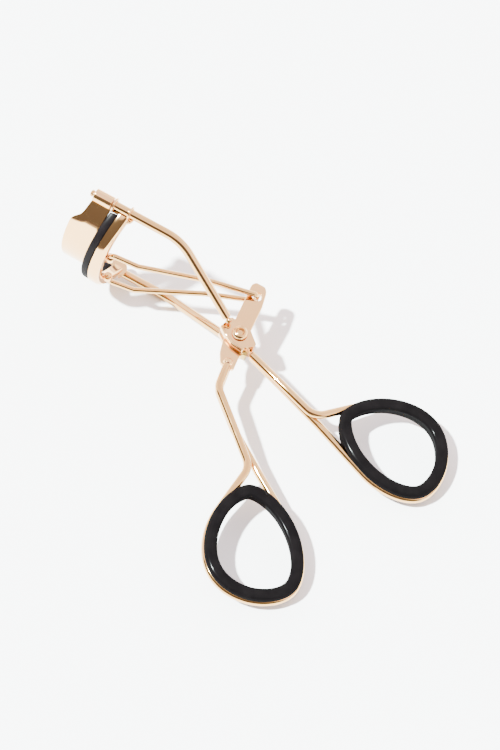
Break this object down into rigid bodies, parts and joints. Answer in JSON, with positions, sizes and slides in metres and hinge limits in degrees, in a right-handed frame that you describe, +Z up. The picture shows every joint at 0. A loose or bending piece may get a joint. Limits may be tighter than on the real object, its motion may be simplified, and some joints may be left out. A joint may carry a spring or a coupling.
{
  "type": "eyelash curler",
  "caption": "Hand-held eyelash curler: crossed wire handles with oval finger rings slide a curved padded clamp bar along guide rods onto a curved plate.",
  "frame": {"origin": "middle of the bounding box on the surface the tool lies on, at z = 0", "axes": "+X forward towards the jaws, +Y from the frame handle towards the lever handle, +Z up; the tool lies on its lower collars and both finger rings, so its own plane is tilted about 9 degrees"},
  "size_m": [0.1114, 0.075, 0.0385],
  "materials": {
    "plated_wire": "polished pale rose-gold plating on drawn steel wire",
    "plated_sheet": "polished pale rose-gold plating on pressed steel sheet",
    "plated_fastener": "polished pale rose-gold plating on turned steel",
    "ring_plastic": "moulded glossy black plastic",
    "pad_rubber": "satin black silicone rubber"
  },
  "bodies": {
    "frame": {"frame_handle_wire": "plated_wire", "frame_finger_ring": "ring_plastic", "frame_bracket": "plated_sheet", "frame_root_block": "plated_sheet", "guide_rod_upper": "plated_wire", "guide_rod_lower": "plated_wire", "fixed_plate": "plated_sheet", "pivot_screw": "plated_fastener", "pivot_nut": "plated_fastener", "pivot_washer_upper": "plated_fastener", "pivot_washer_lower": "plated_fastener"},
    "lever": {"lever_plate": "plated_sheet", "lever_handle_wire": "plated_wire", "lever_finger_ring": "ring_plastic"},
    "carriage": {"moving_bar": "plated_sheet", "lash_pad": "pad_rubber"},
    "link": {"link_bail": "plated_wire"}
  },
  "joints": [
    {"name": "lever_hinge", "type": "hinge", "parent": "frame", "child": "lever", "pos_m": [0.00475, -0.02179, 0.01309], "axis": [0.1484, -0.0658, -0.9867], "range_deg": [0, 40]},
    {"name": "carriage_slide", "type": "slide", "parent": "frame", "child": "carriage", "axis": [-0.9889, -0.0048, -0.1484], "range_m": [0, 0.0079]},
    {"name": "link_hinge", "type": "hinge", "parent": "carriage", "child": "link", "pos_m": [0.04134, -0.02177, 0.01859], "axis": [0.1484, -0.0658, -0.9867], "range_deg": [0, 2.6]}
  ],
  "couplings": [
    {"joint": "carriage_slide", "follows": "lever_hinge", "m_per_rad": 0.0113},
    {"joint": "link_hinge", "follows": "lever_hinge", "ratio": 0.0625}
  ]
}
